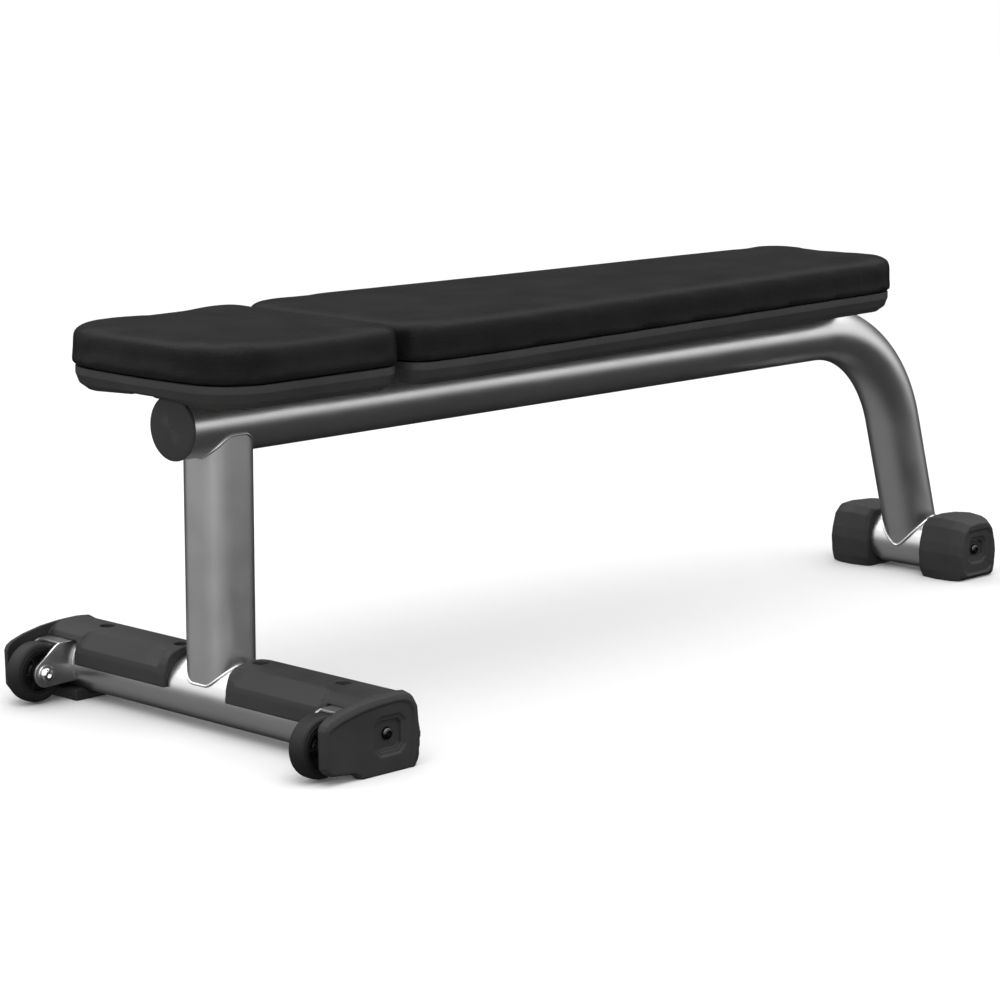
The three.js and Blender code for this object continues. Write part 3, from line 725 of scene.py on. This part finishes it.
def fork(side):
    """A bent steel bracket: two cheeks with round noses and a bridge over the wheel"""
    node = f"wheel_fork_{side}"
    low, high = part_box(node)
    axle = middle(f"axle_washer_{side}")
    nose = 15 * MM
    plate = 3 * MM
    bridge_x = POST.x - 53 * MM
    outline = []
    for k in range(19):
        angle = math.radians(120 + 8.6 * k)
        outline.append((axle.x + nose * math.cos(angle), axle.z + nose * math.sin(angle)))
    back = POST.x - 12 * MM
    outline += [(POST.x - 26 * MM, axle.z - 13 * MM), (back, FRONT_TUBE.z - 14 * MM)]
    outline += [(back, high.z), (POST.x - 52 * MM, high.z), (POST.x - 57 * MM, high.z - 2 * MM)]
    piece = slab(f"{node}.fine", outline, low.y, low.y + plate)
    other = slab("cheek", outline, high.y - plate, high.y)
    bridge = [(bridge_x, high.z - plate), (back, high.z - plate), (back, high.z), (bridge_x, high.z)]
    top = slab("bridge", bridge, low.y + plate / 2, high.y - plate / 2)
    combined(piece, other, "UNION")
    combined(piece, top, "UNION")
    past = 20 * MM
    hole = [(TUBE_R - 1 * MM, low.y - past), (TUBE_R - 1 * MM, high.y + past)]
    tube = turned("tube", hole, Vector((FRONT_TUBE.x, 0, FRONT_TUBE.z)), ALONG_Y, 96)
    combined(piece, tube, "DIFFERENCE")
    softened(piece, 0.7 * MM)
    done(piece, PAINT, [node])
    for number, y in enumerate((low.y, high.y)):
        bead = []
        for k in range(26):
            angle = math.radians(129 + k * 3.1)
            x = FRONT_TUBE.x + TUBE_R * math.cos(angle)
            bead.append(Vector((x, y, FRONT_TUBE.z + TUBE_R * math.sin(angle))))
        spaced = respaced(bead, WELD_STEP, closed=False)
        radii = ripple(FORK_BEAD, len(spaced), 0.06)
        done(swept(f"weld_fork_{side}_{number + 1}", spaced, radii, False), PAINT, crease=60)


# ---------------------------------------------------------------- fasteners

def button_bolt(node, look, axis, head_r, head_height, shank_r):
    """A button-head socket screw that fills its CAD node's box; axis points out of the head"""
    low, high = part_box(node)
    centre = (low + high) / 2
    reach = abs((high - low).dot(axis))
    tip = centre + axis * reach / 2
    seat = reach - head_height
    profile = [(0.0001 * MM, 0), (shank_r - 0.4 * MM, 0), (shank_r, 0.5 * MM), (shank_r, seat)]
    profile += [(head_r - 0.3 * MM, seat), (head_r, seat + 0.35 * MM)]
    socket_r = 0.46 * head_r
    for k in range(1, 9):
        angle = math.radians(90 * k / 8)
        r = socket_r + (head_r - socket_r) * math.cos(angle)
        profile.append((r, seat + 0.35 * MM + (head_height - 0.35 * MM) * math.sin(angle)))
    profile.append((0.0001 * MM, seat + head_height))
    piece = turned(f"{node}.fine", profile, tip - axis * reach, axis, 48)
    depth = 0.6 * head_height
    hexagon = [(socket_r, -depth), (socket_r, 2 * depth)]
    combined(piece, turned("socket", hexagon, tip, axis, 6), "DIFFERENCE")
    done(piece, look, [node], crease=34)


def washer(node):
    low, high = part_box(node)
    centre = (low + high) / 2
    half = (high.y - low.y) / 2
    radius = (high.x - low.x) / 2
    profile = [(5.3 * MM, -half), (radius - 0.5 * MM, -half), (radius, -half + 0.4 * MM)]
    profile += [(radius, half - 0.4 * MM), (radius - 0.5 * MM, half), (5.3 * MM, half)]
    done(turned(f"{node}.fine", profile, centre, ALONG_Y, 64, True), ZINC, [node])


def fasteners():
    for side, sign in SIDES:
        outward = sign * ALONG_Y
        button_bolt(f"front_end_bolt_{side}", BLACK_STEEL, outward, 7 * MM, 4.2 * MM, 4 * MM)
        button_bolt(f"rear_end_bolt_{side}", BLACK_STEEL, outward, 7 * MM, 4.2 * MM, 4 * MM)
        button_bolt(f"axle_bolt_{side}", CHROME, -outward, 7.6 * MM, 4.8 * MM, 5 * MM)
        washer(f"axle_washer_{side}")
        for number in (1, 2):
            node = f"guard_screw_{number}_{side}"
            button_bolt(node, BLACK_STEEL, ALONG_Z, 6.5 * MM, 2.6 * MM, 3 * MM)
        repaint(ZINC, f"axle_nut_{side}")


# ---------------------------------------------------------------- camera, floor and light

def make_camera():
    data = bpy.data.cameras.new("camera")
    data.sensor_width = 36.0
    data.lens = 120.077
    data.clip_end = 50.0
    camera = bpy.data.objects.new("camera", data)
    camera.location = (POST.x - 2.29741, -2.677806, 0.900137)
    camera.rotation_euler = (math.radians(90 - 10.4499), 0, math.radians(44.4738 - 90))
    bpy.context.scene.collection.objects.link(camera)
    bpy.context.scene.camera = camera


def soft_box(name, place, target, width, height, power):
    data = bpy.data.lights.new(name, "AREA")
    data.shape = "RECTANGLE"
    data.size = width
    data.size_y = height
    data.energy = power
    light = bpy.data.objects.new(name, data)
    light.location = place
    direction = Vector(target) - Vector(place)
    light.rotation_euler = direction.to_track_quat("-Z", "Y").to_euler()
    bpy.context.scene.collection.objects.link(light)


def make_world():
    """White to the eye and to matt surfaces. Glossy ones see a studio with bright walls above
    the horizon, a dark wall beyond the bench, a bright ceiling, and a dim floor that is paler
    toward the seat's far side"""
    world = bpy.data.worlds.new("studio")
    bpy.context.scene.world = world
    world.use_nodes = True
    tree = world.node_tree

    def link(source, target):
        tree.links.new(source, target)

    def ramp(value, low, high, to_low, to_high):
        made = tree.nodes.new("ShaderNodeMapRange")
        made.interpolation_type = "SMOOTHSTEP"
        link(value, made.inputs["Value"])
        for socket, number in zip((1, 2, 3, 4), (low, high, to_low, to_high)):
            made.inputs[socket].default_value = number
        return made.outputs["Result"]

    def maths(operation, a, b):
        made = tree.nodes.new("ShaderNodeMath")
        made.operation = operation
        for socket, value in zip(made.inputs, (a, b)):
            if isinstance(value, (int, float)):
                socket.default_value = value
            else:
                link(value, socket)
        return made.outputs[0]

    direction = tree.nodes.new("ShaderNodeTexCoord").outputs["Generated"]
    split = tree.nodes.new("ShaderNodeSeparateXYZ")
    link(direction, split.inputs[0])
    far = maths("ADD", split.outputs["X"], split.outputs["Y"])
    seatward = maths("SUBTRACT", split.outputs["Y"], split.outputs["X"])
    walls = ramp(split.outputs["Z"], -0.22, 0.12, 0.0, 1.5)
    walls = maths("MULTIPLY", walls, ramp(far, 0.45, 1.1, 1.0, 0.06))
    walls = maths("MULTIPLY", walls, ramp(far, -1.35, -1.0, 1.25, 0.9))
    ground = ramp(seatward, -0.5, 0.9, 0.04, 0.24)
    ground = maths("MULTIPLY", ground, ramp(far, 0.45, 1.1, 1.0, 0.1))
    ceiling = ramp(split.outputs["Z"], 0.32, 0.68, 0.0, 2.2)
    ceiling = maths("MULTIPLY", ceiling, ramp(far, 0.9, 1.2, 1.0, 0.1))
    room = maths("ADD", maths("ADD", walls, ground), ceiling)

    path = tree.nodes.new("ShaderNodeLightPath")
    eye = path.outputs["Is Camera Ray"]
    gloss = path.outputs["Is Glossy Ray"]
    fill = 0.12
    matt = maths("SUBTRACT", 1 + fill, maths("MULTIPLY", eye, fill))
    matt = maths("MULTIPLY", matt, maths("SUBTRACT", 1.0, gloss))
    strength = maths("ADD", matt, maths("MULTIPLY", room, gloss))
    link(strength, tree.nodes["Background"].inputs["Strength"])
    tree.nodes["Background"].inputs["Color"].default_value = (1, 1, 1, 1)


def make_floor():
    mesh = bpy.data.meshes.new("floor")
    half = 12.0
    corners = [(-half, -half, 0), (half, -half, 0), (half, half, 0), (-half, half, 0)]
    mesh.from_pydata(corners, [], [(0, 1, 2, 3)])
    floor = bpy.data.objects.new("floor", mesh)
    bpy.context.scene.collection.objects.link(floor)
    look = Look("floor", grey(0.9), 0.7)
    look.roughness(look.ranged(look.noise(0.3), 0.3, 0.7, 0.66, 0.74))
    look.set("Specular IOR Level", 0.1)
    floor.data.materials.append(look.material)
    floor.visible_glossy = False


def make_studio():
    bpy.context.scene.view_settings.view_transform = "Standard"
    make_world()
    make_floor()
    soft_box("key", (-1.2, -1.0, 2.4), (0, 0, 0.2), 1.6, 2.4, 26)


# ---------------------------------------------------------------- the bench

make_camera()
make_studio()

main_tube()
front_post()
cross_tube("front_cross_tube", FRONT_TUBE)
cross_tube("rear_cross_tube", REAR_TUBE)
beam_end_cap()
cushion("short_pad_cushion", SHORT_PAD)
cushion("long_pad_cushion", LONG_PAD)
pan("short_pad_pan", SHORT_PAD)
pan("long_pad_pan", LONG_PAD)
mouldings()
for side, _ in SIDES:
    wheel(side)
    fork(side)
fasteners()

# The pad boards take the near-black plywood, whose darkness is painted shade for the gap under the
# pads
repaint(PLYWOOD, "short_pad_board", "long_pad_board")
repaint(PAINT, *(f"pad_crossbar_{number}" for number in (1, 2, 3, 4)))
repaint(ZINC, *(f"pad_bolt_{n}_{side}" for n in (1, 2, 3, 4) for side, _ in SIDES))
repaint(CAP, *(f"{end}_plug_{side}" for end in ("front", "rear") for side, _ in SIDES))
